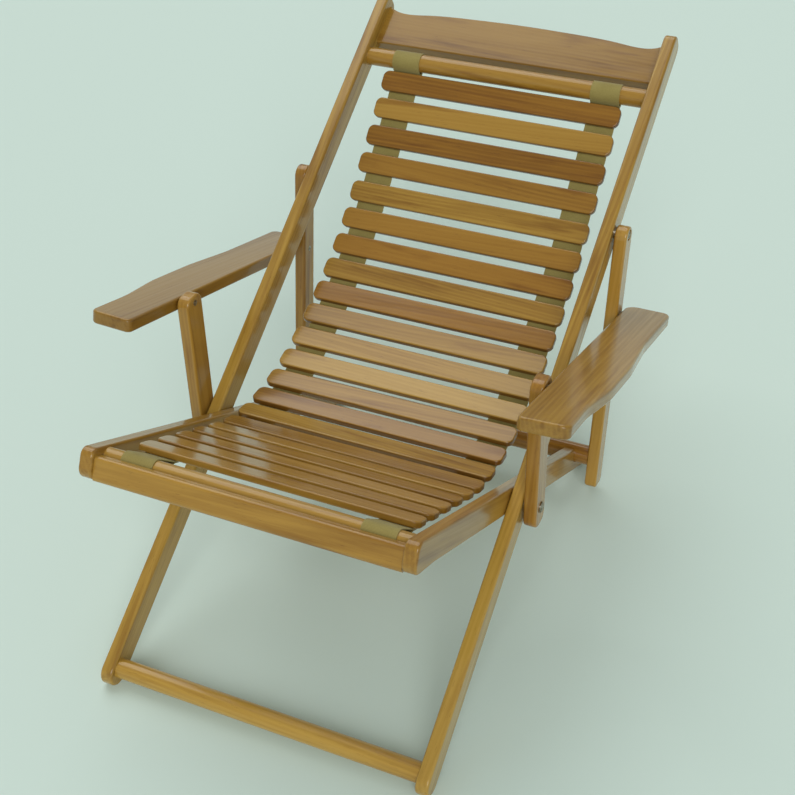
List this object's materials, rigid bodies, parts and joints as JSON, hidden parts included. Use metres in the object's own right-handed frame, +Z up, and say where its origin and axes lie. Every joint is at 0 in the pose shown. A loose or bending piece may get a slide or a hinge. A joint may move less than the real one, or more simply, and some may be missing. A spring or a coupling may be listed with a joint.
{
  "type": "steamer deck chair",
  "caption": "Low folding deck chair with crossed timber frames, flat armrests and a slatted sling seat hung on fabric tapes.",
  "frame": {"origin": "on the floor, midway between the sides and between the front-most foot and the rear-most top corner, chair opened", "axes": "+X to the sitter's left (the viewer's right from the front), +Y to the back, +Z up"},
  "size_m": [0.7302, 1.0732, 0.6556],
  "materials": {
    "rail_varnish": "glossy varnish",
    "slat_varnish": "glossy varnish",
    "bolt_brass": "polished",
    "webbing": "woven"
  },
  "bodies": {
    "back_frame": {"back_rail_left": "rail_varnish", "back_rail_right": "rail_varnish", "crest_rail": "rail_varnish", "head_sling_bar": "rail_varnish", "foot_bar": "rail_varnish", "back_tape_left": "webbing", "back_tape_right": "webbing", "middle_tape_left": "webbing", "middle_tape_right": "webbing", "seat_bolt_left": "bolt_brass", "seat_bolt_right": "bolt_brass", "leg_bolt_left": "bolt_brass", "leg_bolt_right": "bolt_brass", "slat_01": "slat_varnish", "slat_02": "slat_varnish", "slat_03": "slat_varnish", "slat_04": "slat_varnish", "slat_05": "slat_varnish", "slat_06": "slat_varnish", "slat_07": "slat_varnish", "slat_08": "slat_varnish", "slat_09": "slat_varnish", "slat_10": "slat_varnish", "slat_11": "slat_varnish"},
    "seat_frame": {"seat_rail_left": "rail_varnish", "seat_rail_right": "rail_varnish", "seat_apron": "rail_varnish", "front_sling_bar": "rail_varnish", "seat_tape_left": "webbing", "seat_tape_right": "webbing", "slat_16": "slat_varnish", "slat_17": "slat_varnish", "slat_18": "slat_varnish", "slat_19": "slat_varnish", "slat_20": "slat_varnish", "slat_21": "slat_varnish"},
    "rear_legs": {"rear_leg_left": "rail_varnish", "rear_leg_right": "rail_varnish", "prop_bar": "rail_varnish", "arm_screw_left": "bolt_brass", "arm_screw_right": "bolt_brass"},
    "post_left": {"arm_post_left": "rail_varnish", "post_screw_left": "bolt_brass"},
    "post_right": {"arm_post_right": "rail_varnish", "post_screw_right": "bolt_brass"},
    "armrest_left": {"armrest_left": "rail_varnish"},
    "armrest_right": {"armrest_right": "rail_varnish"},
    "sling_12": {"slat_12": "slat_varnish"},
    "sling_13": {"slat_13": "slat_varnish"},
    "sling_14": {"slat_14": "slat_varnish"},
    "sling_15": {"slat_15": "slat_varnish"}
  },
  "joints": [
    {"name": "seat_fold", "type": "hinge", "parent": "back_frame", "child": "seat_frame", "pos_m": [0, -0.16286, 0.22923], "axis": [1, 0, 0], "range_deg": [-114.7, 0], "deforming": ["middle_tape_left", "middle_tape_right"]},
    {"name": "leg_swing", "type": "hinge", "parent": "back_frame", "child": "rear_legs", "pos_m": [0, 0.22445, 0.46029], "axis": [1, 0, 0], "range_deg": [0, 130.2]},
    {"name": "post_left_turn", "type": "hinge", "parent": "back_frame", "child": "post_left", "pos_m": [-0.2746, -0.16286, 0.22923], "axis": [1, 0, 0], "range_deg": [-56.6, 0]},
    {"name": "post_right_turn", "type": "hinge", "parent": "back_frame", "child": "post_right", "pos_m": [0.2746, -0.16286, 0.22923], "axis": [1, 0, 0], "range_deg": [-56.6, 0]},
    {"name": "armrest_left_turn", "type": "hinge", "parent": "rear_legs", "child": "armrest_left", "pos_m": [-0.286, 0.20168, 0.32723], "axis": [1, 0, 0], "range_deg": [-82, 0]},
    {"name": "armrest_right_turn", "type": "hinge", "parent": "rear_legs", "child": "armrest_right", "pos_m": [0.286, 0.20168, 0.32723], "axis": [1, 0, 0], "range_deg": [-82, 0]},
    {"name": "sling_12_flex", "type": "hinge", "parent": "back_frame", "child": "sling_12", "pos_m": [0, 0.00727, 0.26363], "axis": [1, 0, 0], "range_deg": [0, 35.05]},
    {"name": "sling_13_flex", "type": "hinge", "parent": "sling_12", "child": "sling_13", "pos_m": [0, -0.03859, 0.25274], "axis": [1, 0, 0], "range_deg": [-1.22, 0]},
    {"name": "sling_14_flex", "type": "hinge", "parent": "sling_13", "child": "sling_14", "pos_m": [0, -0.08499, 0.24762], "axis": [1, 0, 0], "range_deg": [-33.1, 0]},
    {"name": "sling_15_flex", "type": "hinge", "parent": "sling_14", "child": "sling_15", "pos_m": [0, -0.13167, 0.2486], "axis": [1, 0, 0], "range_deg": [-36.43, 0]}
  ],
  "couplings": [
    {"joint": "post_left_turn", "follows": "leg_swing", "ratio": -0.4327},
    {"joint": "post_right_turn", "follows": "leg_swing", "ratio": -0.4327},
    {"joint": "armrest_left_turn", "follows": "leg_swing", "ratio": -0.6267},
    {"joint": "armrest_right_turn", "follows": "leg_swing", "ratio": -0.6267},
    {"joint": "sling_12_flex", "follows": "seat_fold", "ratio": -0.303},
    {"joint": "sling_13_flex", "follows": "seat_fold", "ratio": 0.008},
    {"joint": "sling_14_flex", "follows": "seat_fold", "ratio": 0.286},
    {"joint": "sling_15_flex", "follows": "seat_fold", "ratio": 0.315}
  ]
}
